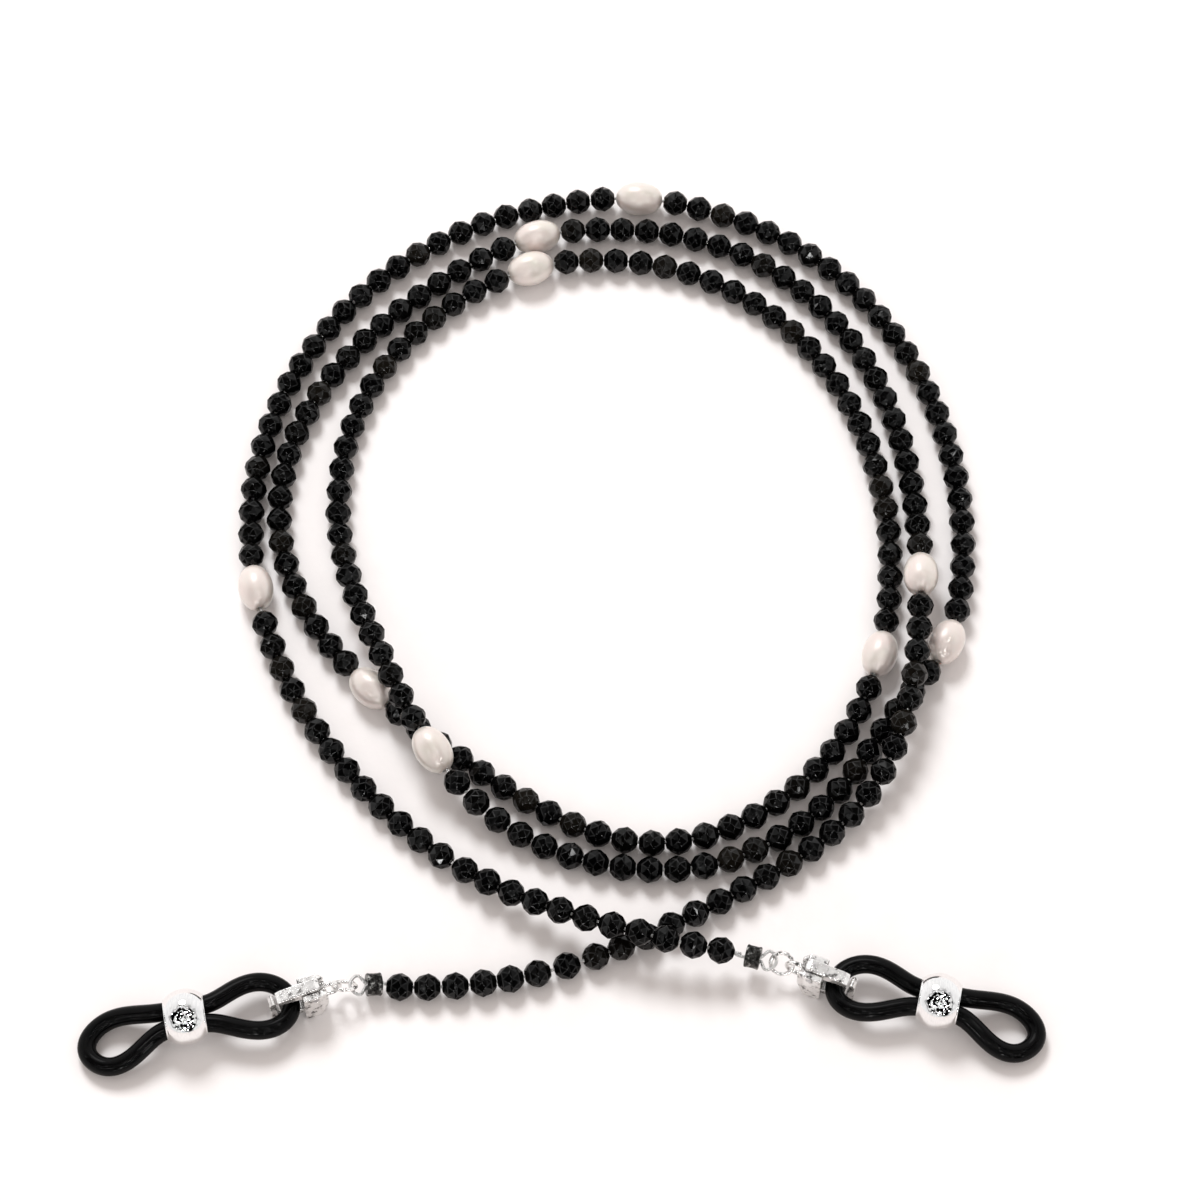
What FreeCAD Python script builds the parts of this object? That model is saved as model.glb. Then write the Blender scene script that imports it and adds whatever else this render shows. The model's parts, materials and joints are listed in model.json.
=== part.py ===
"""Beaded eyeglass retainer strap, modelled as it lies coiled on a table.

One beading wire carries black facetted beads and nine pearls.  At each end a crimp closes the
wire into a small loop, a jump ring links that loop to a lobster clasp, and the clasp holds a
rubber temple loop with a slider ball.  Millimetres, +Z up, table at Z = 0, origin under the
middle of the coiled strap.
"""
import FreeCAD, Part
import os
import re
from math import cos, pi, sin

import Sketcher

V = FreeCAD.Vector
X_AXIS, Y_AXIS, Z_AXIS = V(1, 0, 0), V(0, 1, 0), V(0, 0, 1)

doc = FreeCAD.newDocument("eyeglass_retainer_strap")


# ---------------------------------------------------------------- driving dimensions

SIZES = [
    # black facetted beads, strung on their wire
    ("bead_diameter", 3.0),
    ("bead_length", 2.8),
    ("bead_end_diameter", 1.4),
    ("bead_belt_length", 1.0),
    ("bead_facets", 8),
    ("bead_bore", 0.9),
    ("bead_pitch", 2.96),
    # oval pearls
    ("pearl_length", 5.7),
    ("pearl_diameter", 4.0),
    ("pearl_bore", 0.9),
    ("pearl_step", 8.75),
    # beading wire and the place it flexes between two beads
    ("wire_diameter", 0.36),
    ("wire_end_gap", 0.05),
    ("flex_gap", 0.45),
    ("right_bare_wire", 1.2),
    ("left_bare_wire", 0.5),
    # crimp tube and the wire loop beyond it
    ("crimp_diameter", 2.5),
    ("crimp_length", 1.7),
    ("crimp_bore", 1.0),
    ("crimp_rounding", 0.35),
    ("wire_pair_spacing", 0.42),
    ("wire_loop_reach", 2.55),
    ("wire_loop_width", 2.1),
    # jump ring
    ("ring_diameter", 2.4),
    ("ring_wire", 0.44),
    ("ring_arc", 354),
    ("ring_tilt", 45),
    ("link_gap", 0.2),
    # lobster clasp, standing on edge with its lever upwards
    ("eye_diameter", 2.3),
    ("eye_wire", 0.5),
    ("clasp_width", 2.9),
    ("clasp_back", 0.35),
    ("clasp_front", 3.1),
    ("clasp_top", 1.75),
    ("clasp_bottom", 2.8),
    ("slot_width", 1.5),
    ("slot_floor", 0.4),
    ("hook_width", 1.2),
    ("hook_end", 6.6),
    ("hook_inside", 5.92),
    ("hook_floor", 1.85),
    ("hook_tip", 1.7),
    ("clasp_rounding", 0.28),
    ("clasp_taper", 0.55),
    ("pivot_forward", 1.75),
    ("pivot_height", 1.1),
    ("pin_diameter", 0.6),
    ("pin_hole", 0.66),
    ("pin_length", 2.86),
    ("lever_width", 1.36),
    ("lever_hub", 1.1),
    ("lever_reach", 5.74),
    ("lever_thickness", 0.7),
    ("lever_tab_height", 1.25),
    ("spring_wire", 0.14),
    ("spring_coil", 0.9),
    ("spring_turns", 3),
    ("spring_leg", 0.9),
    # rubber temple loop and its slider ball
    ("cord_diameter", 2.0),
    ("cord_forward", 4.22),
    ("cord_drop", 0.72),
    ("cord_pair_spacing", 2.06),
    ("near_loop_length", 11.2),
    ("near_loop_wide_side", 2.9),
    ("near_loop_flat_side", 2.5),
    ("eye_loop_length", 10.9),
    ("eye_loop_wide_side", 3.4),
    ("eye_loop_flat_side", 1.6),
    ("ball_diameter", 6.0),
    ("ball_bore", 4.2),
    ("loop_end_height", 1.1),
    # how the strap lies: rise of the strand over a crossing and over its pearls
    ("table_gap", 0.05),
    ("strand_height", 1.5),
    ("crossing_rise", 3.3),
    ("pearl_rise", 0.5),
    ("lift_reach", 26),
    ("pearl_lift_reach", 12),
]

# The strand's lay in plan, from the right-hand crimp round three turns to the left-hand crimp.
LAY = [
    (20.3, -44.0), (0.8, -39.5), (-15.7, -29.5), (-28.7, -14.0), (-35.2, 3.5), (-33.7, 25.0),
    (-23.2, 42.5), (-9.2, 52.0), (12.8, 54.5), (29.8, 46.5), (41.8, 29.0), (45.3, 7.5),
    (41.4, -8.0), (37.2, -13.5), (32.3, -21.0), (16.3, -32.5), (-10.7, -24.5), (-20.2, -8.5),
    (-25.7, 9.5), (-22.7, 28.5), (-9.7, 42.5), (9.3, 46.0), (27.3, 35.5), (35.8, 17.5),
    (36.3, -2.0), (28.8, -20.0), (9.8, -30.0), (-9.7, -21.0), (-22.2, -10.5), (-32.2, 7.5),
    (-30.2, 24.5), (-18.2, 40.5), (-3.2, 49.5), (21.3, 47.0), (33.8, 34.5), (39.8, 15.0),
    (39.6, -4.5), (34.8, -22.5), (16.8, -37.0), (0.3, -44.5), (-21.4, -46.6),
]

# Black beads strung in each stretch: the right tail, eight stretches between pearls, the left tail.
BEADS = [24, 25, 25, 23, 24, 25, 23, 24, 24, 28]

# Beads beyond the last flex point of each tail, and the single bead between the left tail's two.
RIGHT_TAIL_BEADS = 11
LEFT_TAIL_BEADS = 6
LEFT_LINK_BEADS = 1

# Crossings where the strand rests on another turn: (pearl it follows, millimetres past that pearl).
# Pearl 0 stands for the right-hand crimp.
CROSSINGS = [(0, 12.5), (4, 9.0), (9, 12.0)]

# Each end: plan heading of crimp, clasp and rubber in degrees, crimp height and upward pitch,
# and the side (+1 or -1) of the rubber's wide near loop.
ENDS = {
    "right": {"crimp": -14, "clasp": -21, "rubber": -12, "height": 2.85, "pitch": 0, "wide": 1},
    "left": {"crimp": 188, "clasp": 199, "rubber": 190, "height": 1.85, "pitch": 12, "wide": -1},
}


# ---------------------------------------------------------------- spreadsheet and shared helpers

sheet = doc.addObject("Spreadsheet::Sheet", "Sizes")
for row, (alias, number) in enumerate(SIZES, start=1):
    sheet.set(f"A{row}", alias)
    sheet.set(f"B{row}", str(number))
    sheet.setAlias(f"B{row}", alias)
doc.recompute()

subparts = []


def formula(text):
    """Write the sheet's name before every alias in a formula."""
    return re.sub(r"[a-z]+(_[a-z]+)+", lambda alias: "Sizes." + alias.group(), text)


def size(text):
    """Work out a formula in the sheet's aliases."""
    return float(sheet.evalExpression(formula(text)))


def bind(thing, target, text):
    """Bind a property or a sketch constraint to a formula in the sheet's aliases."""
    thing.setExpression(target, formula(text))


def place(origin, rotation=FreeCAD.Rotation()):
    return FreeCAD.Placement(origin, rotation)


def turn(axis, angle):
    return FreeCAD.Rotation(axis, angle)


def keep(thing, label, placement=None):
    """Make an object a sub-part under its own label and set where it goes."""
    thing.Label = label
    if placement is not None:
        thing.Placement = placement
    subparts.append(thing)
    return thing


def keep_shape(label, shape, placement=None):
    """Keep a shape made with Part's functions as a sub-part."""
    feature = doc.addObject("Part::Feature", label)
    feature.Shape = shape
    return keep(feature, label, placement)


def primitive(kind, name, **formulas):
    """A Part primitive with its sizes bound to the sheet."""
    solid = doc.addObject("Part::" + kind, name)
    for target, text in formulas.items():
        bind(solid, target, text)
    return solid


def centred_bore(name, diameter, length):
    """A cylinder along Z, centred on the origin, used as a cutter."""
    bore = primitive("Cylinder", name, Radius=f"{diameter} / 2", Height=length)
    bind(bore, "Placement.Base.z", f"-{length} / 2")
    return bore


def cut(name, base, tool):
    result = doc.addObject("Part::Cut", name)
    result.Base = base
    result.Tool = tool
    return result


def swept_wire(points, diameter, closed=False, upright=Z_AXIS):
    """Round wire along a smooth curve through the points, which never runs along upright."""
    curve = Part.BSplineCurve()
    curve.interpolate(Points=points, PeriodicFlag=closed)
    spine = Part.Wire(curve.toShape())
    heading = curve.tangent(curve.FirstParameter)[0]
    section = Part.Wire(Part.makeCircle(diameter / 2, curve.value(curve.FirstParameter), heading))
    pipe = Part.BRepOffsetAPI.MakePipeShell(spine)
    pipe.setBiNormalMode(upright)
    pipe.add(section)
    pipe.build()
    if closed:
        return Part.Solid(Part.Shell(pipe.shape().Faces))
    pipe.makeSolid()
    return pipe.shape()


# ---------------------------------------------------------------- lay of the strand

def lay_curve():
    curve = Part.BSplineCurve()
    curve.interpolate([V(x, y, 0) for x, y in LAY])
    return curve


lay = lay_curve()
lay_edge = lay.toShape()


def string_order():
    """Distance along the strand of every black bead, by stretch, and of every pearl."""
    pitch, step, flex = size("bead_pitch"), size("pearl_step"), size("flex_gap")
    flex_extra = flex - (pitch - size("bead_length"))
    distance = size("crimp_length / 2 + right_bare_wire + bead_length / 2")
    left_flexes = (BEADS[-1] - LEFT_TAIL_BEADS - LEFT_LINK_BEADS, BEADS[-1] - LEFT_TAIL_BEADS)
    stretches, pearl_places = [], []
    for number, count in enumerate(BEADS):
        stretch = []
        for bead in range(count):
            if number == 0 and bead == RIGHT_TAIL_BEADS:
                distance += flex_extra
            if number == len(BEADS) - 1 and bead in left_flexes:
                distance += flex_extra
            stretch.append(distance)
            distance += pitch
        stretches.append(stretch)
        if number == 0:
            distance += flex_extra
        pearl_places.append(distance - pitch + step / 2)
        distance += step - pitch
    return stretches, pearl_places[:-1]


stretches, pearl_places = string_order()
strand_end = stretches[-1][-1] + size("bead_length / 2 + left_bare_wire + crimp_length / 2")


def hump(distance, middle, reach):
    """Smooth rise from 0 to 1 and back to 0 within the reach of its middle."""
    away = abs(distance - middle)
    return (1 + cos(pi * away / reach)) / 2 if away < reach else 0


def strand_lift(distance):
    """Height of the strand's centre above the table at a distance along it."""
    marks = [0] + pearl_places
    over = [hump(distance, marks[mark] + past, size("lift_reach")) for mark, past in CROSSINGS]
    by_pearl = [hump(distance, pearl, size("pearl_lift_reach")) for pearl in pearl_places]
    rise = size("crossing_rise") * max(over) + size("pearl_rise") * max(by_pearl)
    return size("strand_height") + rise


def strand_point(distance):
    """Centre of the strand at a distance along it."""
    flat = lay.value(lay_edge.getParameterByLength(min(distance, lay_edge.Length)))
    return V(flat.x, flat.y, strand_lift(distance))


def strand_heading(distance, half_step=0.5):
    """Direction of the strand, from the right-hand crimp towards the left-hand one."""
    return (strand_point(distance + half_step) - strand_point(distance - half_step)).normalize()


def on_strand(distance, roll=0):
    """Placement that turns Z along the strand."""
    along = FreeCAD.Rotation(Z_AXIS, strand_heading(distance))
    return place(strand_point(distance), along.multiply(turn(Z_AXIS, roll)))


# ---------------------------------------------------------------- beads, pearls and wire

def facet_ring(name, diameter, height):
    """Eight-sided outline of a facetted bead at one height."""
    ring = doc.addObject("Part::RegularPolygon", name)
    bind(ring, "Polygon", "bead_facets")
    bind(ring, "Circumradius", f"{diameter} / 2")
    bind(ring, "Placement.Base.z", height)
    return ring


def black_bead():
    """Facetted bead: a belt of flat facets between two bevelled bands, bored along Z."""
    rings = [
        facet_ring("bead_lower_end", "bead_end_diameter", "-bead_length / 2"),
        facet_ring("bead_lower_belt", "bead_diameter", "-bead_belt_length / 2"),
        facet_ring("bead_upper_belt", "bead_diameter", "bead_belt_length / 2"),
        facet_ring("bead_upper_end", "bead_end_diameter", "bead_length / 2"),
    ]
    facets = doc.addObject("Part::Loft", "bead_facetted_solid")
    facets.Sections = rings
    facets.Solid = True
    facets.Ruled = True
    return cut("black_bead", facets, centred_bore("bead_hole", "bead_bore", "(bead_length + bead_pitch)"))


def pearl():
    """Oval pearl bored along Z."""
    oval = primitive("Ellipsoid", "pearl_oval", Radius1="pearl_length / 2",
                     Radius2="pearl_diameter / 2", Radius3="pearl_diameter / 2")
    return cut("pearl", oval, centred_bore("pearl_hole", "pearl_bore", "(pearl_length + bead_pitch)"))


bead_pattern = black_bead()
pearl_pattern = pearl()
doc.recompute()


def string_black_beads(label, distances):
    """A run of black beads, each rolled a little further round the wire than the last."""
    roll_step = 17
    beads = []
    for index, distance in enumerate(distances):
        bead = bead_pattern.Shape.copy()
        bead.Placement = on_strand(distance, roll_step * index)
        beads.append(bead)
    keep_shape(label, Part.makeCompound(beads))


def string_pearl(number, distance):
    single = doc.addObject("Part::Feature", f"pearl_{number}")
    single.Shape = pearl_pattern.Shape.copy()
    keep(single, f"pearl_{number}", on_strand(distance))


def strand_wire(label, start, end):
    """A run of beading wire through the beads between two distances along the strand."""
    trim = size("wire_end_gap")
    longest_step = 6.0
    start, end = start + trim, end - trim
    steps = max(3, round((end - start) / longest_step))
    points = [strand_point(start + (end - start) * step / steps) for step in range(steps + 1)]
    keep_shape(label, swept_wire(points, size("wire_diameter")))


def flex_points():
    """Distances along the strand where it flexes: right tail, right strand, left link, left tail."""
    half_gap = size("bead_length / 2 + flex_gap / 2")
    right_tail = stretches[0][RIGHT_TAIL_BEADS - 1] + half_gap
    right_strand = stretches[0][-1] + half_gap
    left_tail = stretches[-1][-LEFT_TAIL_BEADS] - half_gap
    left_link = stretches[-1][-LEFT_TAIL_BEADS - LEFT_LINK_BEADS] - half_gap
    return right_tail, right_strand, left_link, left_tail


def build_strand():
    right_tail, right_strand, left_link, left_tail = flex_points()
    first = stretches[0][0] - size("bead_length / 2")
    last = stretches[-1][-1] + size("bead_length / 2")
    strand_wire("wire_right_tail", first, right_tail)
    strand_wire("wire_right_strand", right_tail, right_strand)
    strand_wire("wire_coil", right_strand, left_link)
    strand_wire("wire_left_link", left_link, left_tail)
    strand_wire("wire_left_tail", left_tail, last)
    string_black_beads("black_beads_right_tail", stretches[0][:RIGHT_TAIL_BEADS])
    string_black_beads("black_beads_right_strand", stretches[0][RIGHT_TAIL_BEADS:])
    for number, stretch in enumerate(stretches[1:-1], start=1):
        string_black_beads(f"black_beads_stretch_{number}", stretch)
    inner = len(stretches[-1]) - LEFT_TAIL_BEADS - LEFT_LINK_BEADS
    string_black_beads("black_beads_left_strand", stretches[-1][:inner])
    string_black_beads("black_bead_left_link", stretches[-1][inner:-LEFT_TAIL_BEADS])
    string_black_beads("black_beads_left_tail", stretches[-1][-LEFT_TAIL_BEADS:])
    for number, distance in enumerate(pearl_places, start=1):
        string_pearl(number, distance)


build_strand()


# ---------------------------------------------------------------- frames of the two ends

# Where the links touch, measured along X from the crimp's centre.
NEAR_SIDE_OF_RING = "wire_loop_reach - (wire_diameter / 2 + ring_wire / 2 + link_gap)"
FAR_SIDE_OF_RING = NEAR_SIDE_OF_RING + " + ring_diameter"
NEAR_SIDE_OF_EYE = FAR_SIDE_OF_RING + " - (ring_wire / 2 + eye_wire / 2 + link_gap)"


def end_frames(side):
    """Placements of one end: crimp and links, clasp (origin in its eye), and rubber (origin at
    the cord inside the hook).  In each, X points away from the strand and Z is up."""
    end = ENDS[side]
    at_crimp = strand_point(0 if side == "right" else strand_end)
    crimp_turn = turn(Z_AXIS, end["crimp"]).multiply(turn(Y_AXIS, -end["pitch"]))
    links = place(V(at_crimp.x, at_crimp.y, end["height"]), crimp_turn)
    eye_side = links.multVec(V(size(NEAR_SIDE_OF_EYE), 0, 0))
    clasp_turn = turn(Z_AXIS, end["clasp"])
    eye_centre = eye_side + clasp_turn.multVec(V(size("eye_diameter / 2"), 0, 0))
    clasp_height = size("clasp_bottom + table_gap")
    clasp = place(V(eye_centre.x, eye_centre.y, clasp_height), clasp_turn)
    in_hook = clasp.multVec(V(size("cord_forward"), 0, -size("cord_drop")))
    rubber = place(in_hook, turn(Z_AXIS, end["rubber"]))
    return links, clasp, rubber


# ---------------------------------------------------------------- sketching helpers

def origin_plane(body, role):
    return next(item for item in body.Origin.OriginFeatures if item.Role == role)


def sketch_on(body, role, name):
    """Empty sketch on one of a body's own origin planes."""
    sketch = body.newObject("Sketcher::SketchObject", name)
    sketch.AttachmentSupport = (origin_plane(body, role), "")
    sketch.MapMode = "FlatFace"
    return sketch


def pin_point(sketch, geometry, end, name, across, up):
    """Fix a point of a sketch at two formulas measured from the sketch's origin."""
    for kind, text in (("DistanceX", across), ("DistanceY", up)):
        number = sketch.addConstraint(Sketcher.Constraint(kind, -1, 1, geometry, end, size(text)))
        label = f"{name}_{kind[-1].lower()}"
        sketch.renameConstraint(number, label)
        bind(sketch, f"Constraints.{label}", text)


def outline(sketch, corners):
    """Closed outline with straight sides between corners given as pairs of formulas."""
    places = [V(size(across), size(up), 0) for across, up in corners]
    count = len(places)
    for index in range(count):
        sketch.addGeometry(Part.LineSegment(places[index], places[(index + 1) % count]), False)
    for index in range(count):
        sketch.addConstraint(Sketcher.Constraint("Coincident", index, 2, (index + 1) % count, 1))
    for index, (across, up) in enumerate(corners):
        pin_point(sketch, index, 1, f"corner{index}", across, up)


def round_hole(sketch, name, diameter, across, up):
    """Circle with its diameter and centre bound to formulas."""
    centre = V(size(across), size(up), 0)
    circle = sketch.addGeometry(Part.Circle(centre, Z_AXIS, size(diameter) / 2), False)
    number = sketch.addConstraint(Sketcher.Constraint("Diameter", circle, size(diameter)))
    sketch.renameConstraint(number, name)
    bind(sketch, f"Constraints.{name}", diameter)
    pin_point(sketch, circle, 3, name + "_centre", across, up)


def extrude(body, kind, name, sketch, length):
    """Pad or pocket of a sketch, half to each side of its plane."""
    feature = body.newObject("PartDesign::" + kind, name)
    feature.Profile = sketch
    feature.Midplane = True
    bind(feature, "Length", length)
    sketch.Visibility = False
    return feature


def edges_along_y(shape, test):
    """Names of a shape's straight edges that run along Y and pass a test of their X and Z."""
    names = []
    for number, edge in enumerate(shape.Edges, start=1):
        if len(edge.Vertexes) != 2:
            continue
        first, last = edge.Vertexes[0].Point, edge.Vertexes[1].Point
        across = V(last.x - first.x, 0, last.z - first.z)
        if across.Length < 1e-6 and test(first.x, first.z):
            names.append(f"Edge{number}")
    return names


def round_edges(body, name, base, edges, radius):
    doc.recompute()
    fillet = body.newObject("PartDesign::Fillet", name)
    fillet.Base = (base, edges(base.Shape))
    bind(fillet, "Radius", radius)
    return fillet


# ---------------------------------------------------------------- crimp, wire loop, jump ring

def crimp(side, frame):
    """Short tube pressed over both passes of the wire, turned about the wire's axis."""
    body = doc.addObject("PartDesign::Body", f"{side}_crimp_body")
    sketch = sketch_on(body, "XY_Plane", f"{side}_crimp_wall")
    outline(sketch, [
        ("-crimp_length / 2", "crimp_bore / 2"), ("crimp_length / 2", "crimp_bore / 2"),
        ("crimp_length / 2", "crimp_diameter / 2"), ("-crimp_length / 2", "crimp_diameter / 2"),
    ])
    tube = body.newObject("PartDesign::Revolution", f"{side}_crimp_tube")
    tube.Profile = sketch
    tube.ReferenceAxis = (sketch, ["H_Axis"])
    tube.Angle = 360
    doc.recompute()
    rim = size("crimp_diameter") / 2

    def outer_rims(shape):
        return [f"Edge{n}" for n, edge in enumerate(shape.Edges, start=1)
                if isinstance(edge.Curve, Part.Circle) and abs(edge.Curve.Radius - rim) < 1e-6]

    round_edges(body, f"{side}_crimp_rounding", tube, outer_rims, "crimp_rounding")
    keep(body, f"{side}_crimp", frame)


def wire_loop(side, frame):
    """Bare wire from the last bead, through the crimp, round a loop and back into the crimp."""
    apart = size("wire_pair_spacing") / 2
    mouth = size("crimp_length") / 2
    reach, half_width = size("wire_loop_reach"), size("wire_loop_width") / 2
    bare = size(f"{side}_bare_wire") - size("wire_end_gap")
    shoulder = reach - half_width
    points = [
        V(-mouth - bare, 0, 0), V(-mouth, -apart, 0), V(mouth, -apart, 0),
        V((mouth + shoulder) / 2, -0.6 * half_width, 0), V(shoulder, -half_width, 0),
        V(reach, 0, 0), V(shoulder, half_width, 0), V((mouth + shoulder) / 2, 0.6 * half_width, 0),
        V(mouth, apart, 0), V(-0.8 * mouth, apart, 0),
    ]
    keep_shape(f"{side}_wire_loop", swept_wire(points, size("wire_diameter")), frame)


def jump_ring(side, frame):
    """Split ring, tilted between the flat wire loop and the upright eye of the clasp."""
    ring = primitive("Torus", f"{side}_ring", Radius1="ring_diameter / 2",
                     Radius2="ring_wire / 2", Angle3="ring_arc")
    slit_to_side = turn(X_AXIS, size("ring_tilt")).multiply(turn(Z_AXIS, 90))
    centre = V(size(NEAR_SIDE_OF_RING + " + ring_diameter / 2"), 0, 0)
    keep(ring, f"{side}_jump_ring", frame.multiply(place(centre, slit_to_side)))


# ---------------------------------------------------------------- lobster clasp

def clasp_body(side, frame):
    """Claw with two cheeks round the lever's slot, a hook and an eye, standing on its edge."""
    body = doc.addObject("PartDesign::Body", f"{side}_clasp")

    cheeks = sketch_on(body, "XZ_Plane", f"{side}_cheek_outline")
    outline(cheeks, [
        ("clasp_back", "-0.45 * clasp_bottom"), ("clasp_back + 1", "-clasp_bottom"),
        ("clasp_front", "-clasp_bottom"), ("clasp_front", "clasp_top"),
        ("clasp_back + 0.7", "clasp_top"), ("clasp_back", "0.7 * clasp_top"),
    ])
    block = extrude(body, "Pad", f"{side}_cheeks", cheeks, "clasp_width")
    block = round_edges(body, f"{side}_cheek_rounding", block,
                        lambda shape: edges_along_y(shape, lambda x, z: True), "clasp_rounding")

    for cheek, sign in (("upper", ""), ("lower", "-")):
        corner = sketch_on(body, "XY_Plane", f"{side}_{cheek}_taper_outline")
        outline(corner, [
            ("clasp_back - 0.2", f"{sign}(clasp_width / 2 + 0.2)"),
            ("clasp_back - 0.2", f"{sign}(clasp_width / 2 - clasp_taper)"),
            ("clasp_back + 1.3", f"{sign}(clasp_width / 2 + 0.2)"),
        ])
        extrude(body, "Pocket", f"{side}_{cheek}_taper", corner, "2 * (clasp_top + clasp_bottom)")

    slot = sketch_on(body, "XZ_Plane", f"{side}_slot_outline")
    outline(slot, [
        ("clasp_back - 1", "slot_floor"), ("clasp_front + 1", "slot_floor"),
        ("clasp_front + 1", "clasp_top + 1"), ("clasp_back - 1", "clasp_top + 1"),
    ])
    extrude(body, "Pocket", f"{side}_slot", slot, "slot_width")

    hook = sketch_on(body, "XZ_Plane", f"{side}_hook_outline")
    outline(hook, [
        ("clasp_front - 0.5", "-clasp_bottom"), ("hook_end - 1", "-clasp_bottom"),
        ("hook_end - 0.3", "-clasp_bottom + 0.3"), ("hook_end", "-clasp_bottom + 1"),
        ("hook_end", "hook_tip - 0.7"), ("hook_end - 0.3", "hook_tip - 0.1"),
        ("hook_inside + 0.25", "hook_tip"), ("hook_inside", "hook_tip - 0.3"),
        ("hook_inside", "-hook_floor + 0.5"), ("hook_inside - 0.5", "-hook_floor"),
        ("clasp_front - 0.5", "-hook_floor"),
    ])
    extrude(body, "Pad", f"{side}_hook", hook, "hook_width")

    hole = sketch_on(body, "XZ_Plane", f"{side}_pin_hole_outline")
    round_hole(hole, "pin_hole", "pin_hole", "pivot_forward", "pivot_height")
    extrude(body, "Pocket", f"{side}_pin_hole", hole, "clasp_width + 1")

    eye = body.newObject("PartDesign::AdditiveTorus", f"{side}_eye")
    eye.AttachmentSupport = (origin_plane(body, "XZ_Plane"), "")
    eye.MapMode = "FlatFace"
    bind(eye, "Radius1", "eye_diameter / 2")
    bind(eye, "Radius2", "eye_wire / 2")
    keep(body, f"{side}_clasp_body", frame)


def clasp_lever(side, frame):
    """Gate with a hub on the pin and a thumb tab beside it; its tip closes the hook."""
    body = doc.addObject("PartDesign::Body", f"{side}_lever")
    gate = sketch_on(body, "XZ_Plane", f"{side}_gate_outline")
    outline(gate, [
        ("pivot_forward - 0.5 * lever_hub", "pivot_height + 0.1"),
        ("pivot_forward", "pivot_height - 0.5 * lever_hub"),
        ("clasp_front + 0.2", "pivot_height - 0.2"),
        ("lever_reach - 0.1", "hook_tip - lever_thickness"), ("lever_reach", "hook_tip - 0.1"),
        ("lever_reach - 0.5", "hook_tip + 0.15"), ("clasp_front + 0.3", "clasp_top + 0.3"),
        ("pivot_forward + 0.4", "clasp_top + 0.45"),
        ("pivot_forward - 0.25", "pivot_height + lever_tab_height"),
        ("pivot_forward - 0.8", "pivot_height + lever_tab_height - 0.2"),
        ("pivot_forward - 0.6", "pivot_height + 0.8"),
    ])
    blade = extrude(body, "Pad", f"{side}_gate", gate, "lever_width")
    blade = round_edges(body, f"{side}_gate_rounding", blade,
                        lambda shape: edges_along_y(shape, lambda x, z: z > size("pivot_height")),
                        "clasp_rounding / 3")

    relief = sketch_on(body, "YZ_Plane", f"{side}_spring_relief_outline")
    outline(relief, [
        ("-lever_width", "pivot_height - lever_hub"), ("-0.02 * lever_width", "pivot_height - lever_hub"),
        ("-0.02 * lever_width", "pivot_height + 0.55 * lever_hub"),
        ("-lever_width", "pivot_height + 0.55 * lever_hub"),
    ])
    spring_room = body.newObject("PartDesign::Pocket", f"{side}_spring_relief")
    spring_room.Profile = relief
    spring_room.Reversed = True
    bind(spring_room, "Length", "pivot_forward + 0.55 * lever_hub")

    hole = sketch_on(body, "XZ_Plane", f"{side}_lever_hole_outline")
    round_hole(hole, "pin_hole", "pin_hole", "pivot_forward", "pivot_height")
    extrude(body, "Pocket", f"{side}_lever_hole", hole, "lever_width + 1")
    keep(body, f"{side}_clasp_lever", frame)


def clasp_pin(side, frame):
    pin = primitive("Cylinder", f"{side}_pin", Radius="pin_diameter / 2", Height="pin_length")
    across = V(size("pivot_forward"), size("pin_length / 2"), size("pivot_height"))
    keep(pin, f"{side}_clasp_pin", frame.multiply(place(across, turn(X_AXIS, 90))))


def clasp_spring(side, frame):
    """Torsion spring round the pin, in the half of the slot beside the lever's hub."""
    wire, radius = size("spring_wire"), size("spring_coil") / 2
    turns, leg = size("spring_turns"), size("spring_leg")
    pitch = wire * 1.25
    start = V(size("pivot_forward"), -size("lever_width") / 2 + wire, size("pivot_height"))
    steps_per_turn = 12
    coil = []
    for step in range(int(turns * steps_per_turn) + 1):
        angle = -pi / 2 + 2 * pi * step / steps_per_turn
        offset = V(radius * cos(angle), pitch * step / steps_per_turn, radius * sin(angle))
        coil.append(start + offset)
    forward_leg = coil[0] - V(leg, 0, 0)
    back_leg = coil[-1] + V(leg, 0, 0)
    spring = swept_wire([forward_leg] + coil + [back_leg], wire, upright=Y_AXIS)
    keep_shape(f"{side}_clasp_spring", spring, frame)


# ---------------------------------------------------------------- rubber temple loop and slider

def loop_height(along):
    """Height of the cord above its place in the hook, at a distance along the rubber."""
    in_hook = size("clasp_bottom + table_gap - cord_drop")
    at_ball = size("ball_diameter / 2")
    near, far = size("near_loop_length"), size("eye_loop_length")
    if along <= near:
        return (at_ball - in_hook) * sin(pi / 2 * max(along, 0) / near)
    drop = (1 - cos(pi * min(along - near, far) / far)) / 2
    return at_ball - in_hook - (at_ball - size("loop_end_height")) * drop


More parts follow.
